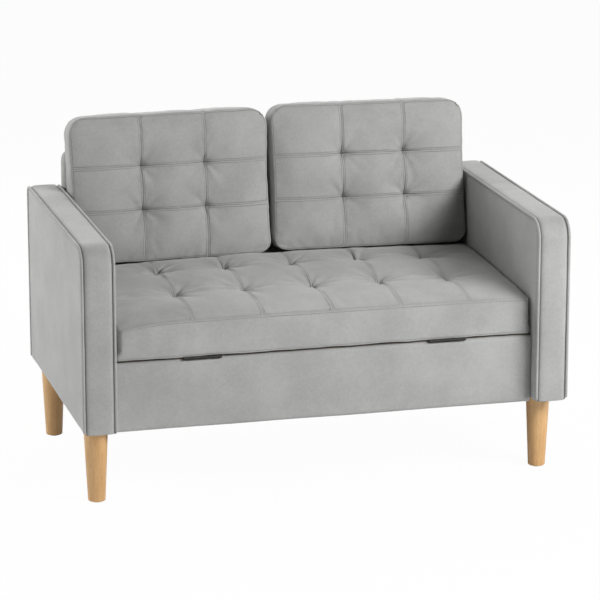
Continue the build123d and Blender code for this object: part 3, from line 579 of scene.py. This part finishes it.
low, high = (np.array(c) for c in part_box("rear_deck_pad"))
deck = board_piece("rear_deck", low, high, (0.006, 0.006, 0.006), SQUARE_FOOT, 0.012, seed=23)
dress(deck, "frame", plain_cloth, "upholstery", "rear_deck_pad")

# %% [markdown]
# ## Cloth under pressure
#
# The seat and the back cushions are stuffed covers that are tied down at the tufts. Blender's own
# cloth solver does that best: the cover is a little larger than its box, air presses it out from
# inside, and what is sewn or tied is held. It runs on an even coarse grid. Afterwards a cubic
# spline carries the grid to a finer one, with closer lines where seams come.

# %% Blow up a cover and refine it


def blow_up(points, quads, hold, seam, pressure, slack, cap, frames=20):
    """Points of a cover after so many frames of pressure from inside, without weight.

    hold is 1 where a point is tied, seam is 1 where the cloth has no slack. A move of length m is
    shortened to cap tanh(m / cap), with a cap for each point.
    """
    cover = make_piece("cover", points, quads)
    for name, weights in (("hold", hold), ("seam", seam)):
        group = cover.vertex_groups.new(name=name)
        for weight in np.unique(weights[weights > 0]):
            group.add(np.flatnonzero(weights == weight).tolist(), float(weight), "REPLACE")
    cloth = cover.modifiers.new("cloth", "CLOTH")
    rules = cloth.settings
    rules.quality = 6
    rules.mass = 0.15
    rules.tension_stiffness = 12
    rules.compression_stiffness = 12
    rules.shear_stiffness = 4
    rules.bending_stiffness = 0.08
    rules.use_pressure = True
    rules.uniform_pressure_force = pressure
    rules.vertex_group_mass = "hold"
    rules.shrink_min = -slack
    rules.shrink_max = 0.0
    rules.vertex_group_shrink = "seam"
    rules.effector_weights.gravity = 0
    cloth.collision_settings.use_collision = False
    cloth.point_cache.frame_start = 1
    cloth.point_cache.frame_end = frames
    for step in range(1, frames + 1):
        bpy.context.scene.frame_set(step)
    solved = cover.evaluated_get(bpy.context.evaluated_depsgraph_get()).to_mesh()
    move = points_of(solved) - points
    bpy.data.objects.remove(cover)
    bpy.context.scene.frame_set(1)
    length = np.linalg.norm(move, axis=1)
    short = cap * np.tanh(length / cap) / np.maximum(length, 1e-9)
    print(f"  blown up: mean {1000 * length.mean():.1f} mm, most {1000 * length.max():.1f} mm")
    return points + move * short[:, None]


def spline_rows(coarse, fine):
    """Matrix from values at coarse places to values at fine ones, by a cubic B-spline.

    A fine value is a mean of four coarse ones, weighted (1-f)^3, 3f^3-6f^2+4, -3f^3+3f^2+3f+1
    and f^3, over 6. Past the ends the row goes on in a straight line, so both ends are kept.
    """
    count = len(coarse)
    where = np.interp(fine, coarse, np.arange(count))
    first = np.minimum(where.astype(int), count - 2)
    f = (where - first)[:, None]
    second = 3 * f**3 - 6 * f**2 + 4
    third = -3 * f**3 + 3 * f**2 + 3 * f + 1
    weights = np.hstack([(1 - f) ** 3, second, third, f**3])
    rows = np.zeros((len(fine), count + 2))
    line = np.arange(len(fine))[:, None]
    np.add.at(rows, (line, first[:, None] + np.arange(4)), weights / 6)
    rows[:, 1] += 2 * rows[:, 0]
    rows[:, 2] -= rows[:, 0]
    rows[:, -2] += 2 * rows[:, -1]
    rows[:, -3] -= rows[:, -1]
    return rows[:, 1:-1]


def refine(cells, matrices):
    """Carry a box of cells to finer places, one direction after the other."""
    for axis, rows in enumerate(matrices):
        cells = np.moveaxis(np.tensordot(rows, cells, axes=(1, axis)), 0, axis)
    return cells


def nearest_line(place, lines):
    """Distance from each place to the nearest of the lines."""
    return np.abs(place[..., None] - np.asarray(lines)).min(axis=-1)


rows = spline_rows(np.arange(5.0), np.array([0.0, 1.5, 4.0]))
print("spline rows add up to", rows.sum(axis=1).round(6))

# %% [markdown]
# ## A tufted boxed pad
#
# A boxed pad has a face, a band round it and a rear, and seams where they meet. At a tuft a twine
# pulls the face down, and the cloth round it falls into folds that run out like a star. The pad is
# blown up first, with its tufts tied. The folds come afterwards, as waves round each tuft.

# %% Tufts, folds and seams
CLOSE = np.array([0.0009, 0.0018, 0.0032, 0.0052])
PULL_REACH = 0.045
FOLD_REACH = 0.020
TIP_DEPTH, TIP_REACH = 0.005, 0.006
GROOVE_DEPTH, GROOVE_PULL, GROOVE_WIDTH = 0.0009, 0.0008, 0.0015
PUCKER_HEIGHT, PUCKER_REACH, PUCKER_LENGTH = 0.0007, 0.012, 0.026


def tuft_distance(x, y, tufts):
    """Distance from each place to its nearest tuft."""
    return np.min([np.hypot(x - tx, y - ty) for tx, ty in tufts], axis=0)


def star_folds(x, y, tufts, height, reach, seed):
    """Folds round the tufts: height (r / reach) exp(1 - r / reach) times waves round the tuft.

    The waves are the mean of cos(m t + chance) for m from 3 to 11, with t the angle at the tuft.
    """
    chance = np.random.default_rng(seed)
    waves = np.arange(3, 12)
    relief = np.zeros_like(x)
    for tx, ty in tufts:
        ring = np.hypot(x - tx, y - ty) / reach
        angle = np.arctan2(y - ty, x - tx)
        phase = chance.uniform(0, 2 * np.pi, len(waves))
        star = np.cos(angle[:, None] * waves + phase).mean(axis=1)
        relief += height * chance.uniform(0.6, 1.4) * star * ring * np.exp(1 - ring)
    return relief


def seam_marks(cells, fine, columns, rows):
    """For each point of a pad: distance to the nearest seam, and place along that seam.

    Columns and rows are sewn on the face. Where the face or the rear meets the band there is a
    seam too: on face and rear its distance is the way to the edge, on the band the way up to it.
    """
    x, y, share = (lattice(*fine)[..., i] for i in range(3))
    far = np.full(x.shape, 1.0)
    flat = (share < 1e-9) | (share > 1 - 1e-9)
    face = share > 1 - 1e-9
    to_side = np.minimum(x - fine[0][0], fine[0][-1] - x)
    to_end = np.minimum(y - fine[1][0], fine[1][-1] - y)
    thickness = np.ptp(cells[..., 2], axis=2)[..., None]
    gaps = np.stack([
        np.where(face, nearest_line(x, columns), far) if len(columns) else far,
        np.where(face, nearest_line(y, rows), far) if len(rows) else far,
        np.where(flat, to_side, np.minimum(share, 1 - share) * thickness),
        np.where(flat, to_end, far),
    ])
    runs = np.stack([y, x, np.where(flat | (to_side < 1e-9), y, x), x])
    nearest = gaps.argmin(axis=0)[None]
    return np.take_along_axis(gaps, nearest, 0)[0], np.take_along_axis(runs, nearest, 0)[0]


def pad_piece(name, coarse, fine, start, held, columns, rows, tufts, air, fold, seed):
    """Boxed pad: blown up on coarse places, refined, then given folds, tips of tufts and seams."""
    cells = start(*coarse)
    outside, quads = skin(cells.shape[:3])
    hold, seam, cap = (values[outside] for values in held(cells))
    cells[outside] = blow_up(cells[outside], quads, hold, seam, air[0], air[1], cap)
    cells = refine(cells, [spline_rows(c, f) for c, f in zip(coarse, fine)])
    gap, run = seam_marks(cells, fine, columns, rows)
    outside, quads = skin(cells.shape[:3])
    points = cells[outside]
    flat = lattice(*fine)[outside]
    to_tuft = tuft_distance(flat[:, 0], flat[:, 1], tufts)
    pull = np.exp(-to_tuft / PULL_REACH)
    # seam_gap and pull tell the finish where to paint seam shade and how strong it is
    marks = {"seam_gap": gap[outside], "seam_run": run[outside], "pull": pull}
    piece = make_piece(name, points, quads, marks)
    on_face = flat[:, 2] > 1 - 1e-9
    tip = TIP_DEPTH * np.exp(-to_tuft / TIP_REACH)
    folds = star_folds(flat[:, 0], flat[:, 1], tufts, fold, FOLD_REACH, seed)
    near = gap[outside]
    groove = (GROOVE_DEPTH + GROOVE_PULL * pull) * np.exp(-((near / GROOVE_WIDTH) ** 2))
    puckers = ripple(points, PUCKER_HEIGHT, PUCKER_LENGTH, seed + 5) * np.exp(-near / PUCKER_REACH)
    soft = ripple(points, 0.0016, 0.11, seed) + ripple(points, 0.0007, 0.045, seed + 1)
    push(piece, np.where(on_face, folds - tip, 0) - groove + puckers + soft)
    return piece


print("pad tools ready")

# %% [markdown]
# ## Seat
#
# The seat is one long boxed pad on a board. Five sewn lines run from front to rear, and on each
# there are two tufts. The board, the sides and the tufts are held, the band at the front is held
# less, and the face is free. It rises from the front edge to the rear and is highest in the middle.

# %% Seat pad
SEAT_SHIFT = 0.018
SEAT_COLUMNS = np.arange(-2, 3) * 0.167 + SEAT_SHIFT
seat_low, seat_high = (np.array(c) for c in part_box("seat_pad"))
board_low, board_high = (np.array(c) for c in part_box("seat_board"))
SEAT_ROWS = np.array([seat_low[1] + 0.200, seat_low[1] + 0.400])
SEAT_TUFTS = [(column, row) for column in SEAT_COLUMNS for row in SEAT_ROWS]
SEAT_TUFT_DEPTH = 0.024
SEAT_TUFT_REACH = 0.019
SEAT_CORNER = 0.013
SEAT_FRONT, SEAT_REAR, SEAT_CROWN = 0.088, 0.113, 0.012
LEFT_DRAW, RIGHT_DRAW = 0.011, 0.003
LEFT_DROP, RIGHT_DROP = 0.020, 0.005
BOARD_HOLLOW = 0.006


def seat_cells(xs, ys, shares):
    """Starting shape of the seat: shares of the thickness go from the board to the face.

    Height is f + (r - f) s + 4 c s (1 - s) with s from front to rear: front edge f, rear edge r
    and crown c all fall off towards the ends of the seat. Each tuft takes depth exp(-d / reach).
    The ends draw in above the board, and the underside is hollow where the board lies in it.
    """
    cells = lattice(xs, ys, shares)
    x, y, share = (cells[..., i] for i in range(3))
    tips = [(sx, sy, SEAT_CORNER) for sx in (xs[0], xs[-1]) for sy in (ys[0], ys[-1])]
    x, y = round_corners(x, y, tips)
    ends = 2 * (x - xs[0]) / np.ptp(xs) - 1
    above_board = np.clip((share - 0.14) / 0.12, 0, 1)
    x = x + np.where(ends < 0, LEFT_DRAW, -RIGHT_DRAW) * ends**20 * above_board
    s = (y - ys[0]) / (ys[-1] - ys[0])
    u = np.abs(x / xs[-1])
    front = SEAT_FRONT - np.where(x < 0, LEFT_DROP, RIGHT_DROP) * u**8
    rear = SEAT_REAR - 0.012 * u**2
    crown = SEAT_CROWN * (1 - 0.7 * u**4)
    height = front + (rear - front) * s + 4 * crown * s * (1 - s)
    height -= SEAT_TUFT_DEPTH * np.exp(-tuft_distance(x, y, SEAT_TUFTS) / SEAT_TUFT_REACH)
    on_board = (x > board_low[0]) & (x < board_high[0]) & (y > board_low[1]) & (y < board_high[1])
    hollow = np.where(on_board & (share < 1e-9), BOARD_HOLLOW, 0)
    return np.stack([x, y, seat_low[2] + hollow + share * height], axis=-1)


def seat_held(cells):
    """Board, sides and rear are tied, tufts too; the face's edge is tied less, the rest is free."""
    x, y = cells[..., 0], cells[..., 1]
    shape = cells.shape[:3]
    i, j, k = np.indices(shape)
    face = k == shape[2] - 1
    side = (i == 0) | (i == shape[0] - 1) | (j == shape[1] - 1)
    front = j == 0
    hold = np.where(face & (tuft_distance(x, y, SEAT_TUFTS) < 0.006), 1.0, 0.0)
    hold = np.where(side, 0.9, hold)
    hold = np.where(front, 0.25, hold)
    hold = np.where(face & front, 0.8, hold)
    hold = np.where(k == 0, 1.0, hold)
    seam = np.where(face & (nearest_line(x, SEAT_COLUMNS) < 0.004), 0.2, 0.0)
    cap = np.where(side, 0.0006, np.where(front, 0.004, 0.020))
    return hold, seam, cap


coarse = (
    np.linspace(seat_low[0] + 0.002, seat_high[0] - 0.0015, 149),
    np.linspace(seat_low[1] + 0.002, seat_high[1], 74),
    np.linspace(0, 1, 13),
)
fine = (
    graded(coarse[0][0], coarse[0][-1], SEAT_COLUMNS, 0.0052, CLOSE),
    graded(coarse[1][0], coarse[1][-1], SEAT_ROWS, 0.0052, CLOSE),
    graded(0, 1, [], 0.08, np.array([0.012, 0.026, 0.05])),
)
seat = pad_piece(
    "seat_cover", coarse, fine, seat_cells, seat_held,
    SEAT_COLUMNS, [], SEAT_TUFTS, air=(4.0, 0.006), fold=0.008, seed=31,
)
dress(seat, "seat_lid", sewn_cloth, "upholstery", "seat_pad")

# %% [markdown]
# ## Back cushions
#
# Each cushion is a boxed cover with nine sewn panels and four tufts. It stands on the deck and
# leans back against the slab. It is worked out lying on its rear face, blown up like the seat, and
# then stood up: its own directions are across, up the lean and out of the lean.

# %% Back cushions
CUSHION_WIDTH = 0.503
CUSHION_HEIGHT = 0.362
CUSHION_EDGE = 0.067
CUSHION_CROWN = 0.016
CUSHION_TUFT_DEPTH = 0.022
CUSHION_TUFT_REACH = 0.020
CUSHION_DRAW = 0.003
CUSHION_FOOT_CORNER, CUSHION_TOP_CORNER = 0.034, 0.046
TUFT_ACROSS, TUFT_UP = 0.160, 0.108
LEAN = math.radians(8.0)


def cushion_tools(shift):
    """Sewn lines and tufts of a cushion whose cover sits a little to one side, and two rules."""
    columns = np.array([-0.5, 0.5]) * TUFT_ACROSS + shift
    rows = CUSHION_HEIGHT / 2 + np.array([-0.5, 0.5]) * TUFT_UP
    tufts = [(column, row) for column in columns for row in rows]

    def start(xs, ys, shares):
        """Thickness is edge + crown (1 - u^4)(1 - v^4), less depth exp(-d / reach) at each tuft.

        u and v go from -1 to 1 across the face, and the sides draw in by draw (1 - v^2) u.
        """
        cells = lattice(xs, ys, shares)
        x, y, share = (cells[..., i] for i in range(3))
        ends = ((ys[0], CUSHION_FOOT_CORNER), (ys[-1], CUSHION_TOP_CORNER))
        tips = [(sx, sy, radius) for sx in (xs[0], xs[-1]) for sy, radius in ends]
        x, y = round_corners(x, y, tips)
        u = x / xs[-1]
        v = 2 * y / ys[-1] - 1
        height = CUSHION_EDGE + CUSHION_CROWN * (1 - u**4) * (1 - v**4)
        height -= CUSHION_TUFT_DEPTH * np.exp(-tuft_distance(x, y, tufts) / CUSHION_TUFT_REACH)
        x = x - CUSHION_DRAW * (1 - v**2) * u
        return np.stack([x, y, share * height], axis=-1)

    def held(cells):
        """The rear, the foot and the tufts are tied, the edges a little, and the face is free."""
        x, y = cells[..., 0], cells[..., 1]
        shape = cells.shape[:3]
        i, j, k = np.indices(shape)
        face = k == shape[2] - 1
        border = (i == 0) | (i == shape[0] - 1) | (j == shape[1] - 1) | (j == 0)
        hold = np.where(face & (tuft_distance(x, y, tufts) < 0.006), 1.0, 0.0)
        hold = np.where(border, 0.1, hold)
        hold = np.where(face & border, 0.35, hold)
        hold = np.where((k == 0) | (j == 0), 1.0, hold)
        sewn = np.minimum(nearest_line(x, columns), nearest_line(y, rows)) < 0.004
        seam = np.where(face & sewn, 0.2, 0.0)
        cap = np.where(j == 0, 0.0004, np.where(border, 0.005, 0.024))
        return hold, seam, cap

    return columns, rows, tufts, start, held


coarse = (
    np.linspace(-CUSHION_WIDTH / 2 + 0.003, CUSHION_WIDTH / 2 - 0.003, 79),
    np.linspace(0, CUSHION_HEIGHT - 0.002, 57),
    np.linspace(0, 1, 11),
)
CUSHIONS = (("left", 0.007, 0.002, 4.0, 41), ("right", 0.010, -0.006, 3.7, 47))
for side, shift, roll, pressure, seed in CUSHIONS:
    columns, rows, tufts, start, held = cushion_tools(shift)
    fine = (
        graded(coarse[0][0], coarse[0][-1], columns, 0.0042, CLOSE),
        graded(coarse[1][0], coarse[1][-1], rows, 0.0042, CLOSE),
        graded(0, 1, [], 0.08, np.array([0.014, 0.03, 0.055])),
    )
    cushion = pad_piece(
        f"{side}_cushion_cover", coarse, fine, start, held,
        columns, rows, tufts, air=(pressure, 0.009), fold=0.004, seed=seed,
    )
    low, high = (np.array(c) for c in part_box(f"{side}_back_cushion"))
    across, up, out = points_of(cushion.data).T
    up = up + abs(roll) * (0.5 + np.sign(roll) * across / CUSHION_WIDTH)
    foot = high[1] - CUSHION_HEIGHT * math.sin(LEAN)
    stood = np.stack([
        (low[0] + high[0]) / 2 + across,
        foot + up * math.sin(LEAN) - out * math.cos(LEAN),
        low[2] + up * math.cos(LEAN) + out * math.sin(LEAN),
    ], axis=1)
    cushion.data.vertices.foreach_set("co", stood.astype(np.float32).ravel())
    cushion.data.update()
    dress(cushion, f"{side}_back_cushion", sewn_cloth, "upholstery", f"{side}_back_cushion")

# %% [markdown]
# ## Dust cover
#
# Under the box a thin black cloth is stretched from rail to rail. It sags a little between its
# edges: the sag is that of a membrane, depth (1 - u^2)(1 - v^2).

# %% Dust cover
SHEET_THICKNESS = 0.0006
SHEET_SAG = 0.004
low, high = (np.array(c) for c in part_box("dust_cover"))
us, vs = np.meshgrid(np.linspace(-1, 1, 61), np.linspace(-1, 1, 41), indexing="ij")
sheet_points = np.stack([
    (low[0] + high[0]) / 2 + us * (high[0] - low[0]) / 2,
    (low[1] + high[1]) / 2 + vs * (high[1] - low[1]) / 2,
    high[2] - SHEET_THICKNESS - SHEET_SAG * (1 - us**2) * (1 - vs**2),
], axis=-1)
number = np.arange(us.size).reshape(us.shape)
quads = np.stack([number[:-1, :-1], number[:-1, 1:], number[1:, 1:], number[1:, :-1]], axis=-1)
dust_sheet = make_piece("dust_sheet", sheet_points.reshape(-1, 3), quads.reshape(-1, 4))
solid = dust_sheet.modifiers.new("cloth_thickness", "SOLIDIFY")
solid.thickness = SHEET_THICKNESS
dust_finish = Finish("black_dust_cloth", Roughness=0.95)
felt = dust_finish.noise(dust_finish.place(), 420.0, 3.0, 0.7)
dust_finish.feed(
    Base_Color=dust_finish.mix(felt, (0.010, 0.010, 0.011, 1), (0.045, 0.045, 0.048, 1)),
    Normal=dust_finish.bump(felt, 0.0003),
)
dress(dust_sheet, "frame", dust_finish.material, "dust_cloth", "dust_cover")

# %% [markdown]
# ## Wood, metal and plastic
#
# The legs are turned beech: straight grain along the leg, with short dark flecks. The boards are
# plywood and the bearers pine, both bare. These solids stay as they are and only get a finish, so
# their patterns use object coordinates, which are metres from the floor's middle.

# %% Finishes of the hard pieces


def wood(name, light, dark, grain_scale, along, roughness, coat):
    """Long grain: noise stretched along one axis, darker streaks, and short dark flecks."""
    board = Finish(name, Coat_Weight=coat, Coat_Roughness=0.25)
    stretch = [1.0, 1.0, 1.0]
    stretch[along] = 0.06
    grain = board.noise(board.place(scale=stretch), grain_scale, 5.0, 0.6)
    stretch[along] = 0.02
    rings = board.noise(board.place(scale=stretch), grain_scale * 0.25, 2.0, 0.5)
    stretch[along] = 0.12
    fleck = board.noise(board.place(scale=stretch), grain_scale * 3.5, 1.0, 0.5).above(0.66, 0.05)
    tone = grain * 0.55 + rings * 0.45
    colour = board.mix(tone.above(0.5, 0.22), dark, light)
    colour = board.mix(fleck * 0.35, colour, tuple(0.55 * c for c in dark[:3]) + (1,))
    board.feed(
        Base_Color=colour,
        Roughness=roughness + 0.15 * grain,
        Normal=board.bump(grain * 0.7 - fleck * 0.3, 0.00015),
    )
    return board.material


def metal(name, light, dark, roughness, metallic):
    """Plated or lacquered steel with small dull patches and a fine brushed grain."""
    steel = Finish(name, Metallic=metallic)
    patches = steel.noise(steel.place(), 180.0, 4.0)
    brushed = steel.noise(steel.place(scale=(0.05, 1.0, 1.0)), 2500.0, 2.0)
    steel.feed(
        Base_Color=steel.mix(patches.above(0.5, 0.2), dark, light),
        Roughness=roughness + 0.2 * patches,
        Normal=steel.bump(brushed, 0.00005),
    )
    return steel.material


glide = Finish("glide_plastic", Roughness=0.6)
pips = glide.noise(glide.place(), 900.0, 2.0)
glide.feed(
    Base_Color=glide.mix(pips, (0.05, 0.05, 0.05, 1), (0.09, 0.09, 0.09, 1)),
    Normal=glide.bump(pips, 0.0001),
)
finish_of_slot = {
    "leg_wood": wood(
        "beech", (0.76, 0.475, 0.215, 1), (0.60, 0.335, 0.130, 1), 170.0, 2, 0.38, 0.25
    ),
    "pine_timber": wood("pine", (0.66, 0.50, 0.30, 1), (0.52, 0.36, 0.19, 1), 120.0, 0, 0.6, 0.0),
    "plywood": wood("plywood", (0.62, 0.48, 0.32, 1), (0.50, 0.36, 0.22, 1), 90.0, 0, 0.62, 0.0),
    "hinge_steel": metal(
        "dark_bronze", (0.030, 0.027, 0.022, 1), (0.015, 0.014, 0.012, 1), 0.45, 0.5
    ),
    "zinc_steel": metal("zinc", (0.60, 0.60, 0.62, 1), (0.42, 0.42, 0.44, 1), 0.3, 1.0),
    "glide_plastic": glide.material,
    "upholstery": plain_cloth,
    "dust_cloth": dust_finish.material,
}
for part in frame["record"]["subparts"]:
    node = frame["nodes"][part["node"]]
    node.data.materials.clear()
    node.data.materials.append(finish_of_slot[part["material_slot"]])

# %% [markdown]
# ## Studio
#
# A white room: a pale floor that keeps the sofa's shadow, a white world behind it, and four large
# soft lamps. The main lamp stands at the front right, high up, so the right arm shades its inner
# side and a corner of the cushion. Two lamps at the rear brighten the arm tops, and one at the left
# the side panel. The camera stands at the front left, a little above.

# %% Floor, world, lamps and camera
floor_mesh = bpy.data.meshes.new("floor")
FLOOR_REACH = 9.0
signs = ((-1, -1), (1, -1), (1, 1), (-1, 1))
corners = [(sx * FLOOR_REACH, sy * FLOOR_REACH, 0) for sx, sy in signs]
floor_mesh.from_pydata(corners, [], [(0, 1, 2, 3)])
floor = bpy.data.objects.new("floor", floor_mesh)
bpy.context.scene.collection.objects.link(floor)
floor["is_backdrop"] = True
white = Finish("white_floor", Roughness=0.9)
white.surface.inputs["Base Color"].default_value = (0.9, 0.9, 0.9, 1)
path = white.node("LightPath", output="Is Camera Ray")
glow = white.node("Emission", None, {"Color": (1, 1, 1, 1), "Strength": 1.0})
paint = Value(white, white.surface.outputs[0])
room = white.node("MixShader", None, {0: path * 0.97, 1: paint, 2: glow})
white.tree.links.new(room.socket, white.tree.nodes["Material Output"].inputs["Surface"])
floor_mesh.materials.append(white.material)

world = bpy.data.worlds.new("studio")
bpy.context.scene.world = world
world.use_nodes = True
sky = world.node_tree
background = sky.nodes["Background"]
light_path = sky.nodes.new("ShaderNodeLightPath")
shown = sky.nodes.new("ShaderNodeMath")
shown.operation = "MAXIMUM"
sky.links.new(light_path.outputs["Is Camera Ray"], shown.inputs[0])
sky.links.new(light_path.outputs["Is Glossy Ray"], shown.inputs[1])
strength = sky.nodes.new("ShaderNodeMapRange")
strength.inputs["To Min"].default_value = 0.02
strength.inputs["To Max"].default_value = 1.0
sky.links.new(shown.outputs[0], strength.inputs["Value"])
sky.links.new(strength.outputs[0], background.inputs["Strength"])
background.inputs["Color"].default_value = (1, 1, 1, 1)


LIT_POINT = Vector((0, 0, 0.4))


def lamp(name, place, width, height, watts):
    """Soft box lamp that faces the sofa's middle."""
    light = bpy.data.lights.new(name, "AREA")
    light.shape = "RECTANGLE"
    light.size = width
    light.size_y = height
    light.energy = watts
    lamp_object = bpy.data.objects.new(name, light)
    lamp_object.location = place
    lamp_object.rotation_euler = (LIT_POINT - Vector(place)).to_track_quat("-Z", "Y").to_euler()
    bpy.context.scene.collection.objects.link(lamp_object)


lamp("main_lamp", (2.3, -2.7, 2.4), 2.2, 1.2, 150)
lamp("left_lamp", (-3.2, -0.4, 1.2), 2.5, 2.5, 26)
lamp("rear_lamp", (0.6, 2.2, 2.6), 2.0, 2.0, 44)
lamp("rear_left_lamp", (-2.4, 1.8, 1.8), 2.0, 2.0, 52)

AZIMUTH, ELEVATION = math.radians(-14.79), math.radians(14.69)
DISTANCE = 7.634
FOCAL_PIXELS = 3146.5
PHOTO_PIXELS = 600
target = Vector((0.0183, 0.0, 0.3812))
back = Vector((
    math.sin(AZIMUTH) * math.cos(ELEVATION),
    -math.cos(AZIMUTH) * math.cos(ELEVATION),
    math.sin(ELEVATION),
))
lens = bpy.data.cameras.new("camera")
lens.sensor_width = 36.0
lens.lens = FOCAL_PIXELS / PHOTO_PIXELS * lens.sensor_width
camera = bpy.data.objects.new("camera", lens)
camera.location = target + back * DISTANCE
camera.rotation_euler = (-back).to_track_quat("-Z", "Y").to_euler()
bpy.context.scene.collection.objects.link(camera)
bpy.context.scene.camera = camera
bpy.context.scene.view_settings.view_transform = "Standard"

# %% [markdown]
# ## Size of the result
#
# Cloth may stand a few millimetres out of its solid, and no more. The box of the dressed sofa is
# printed at the end.

# %% Sizes, and the end
low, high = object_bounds()
print("visual box", tuple(round(s, 3) for s in high - low))
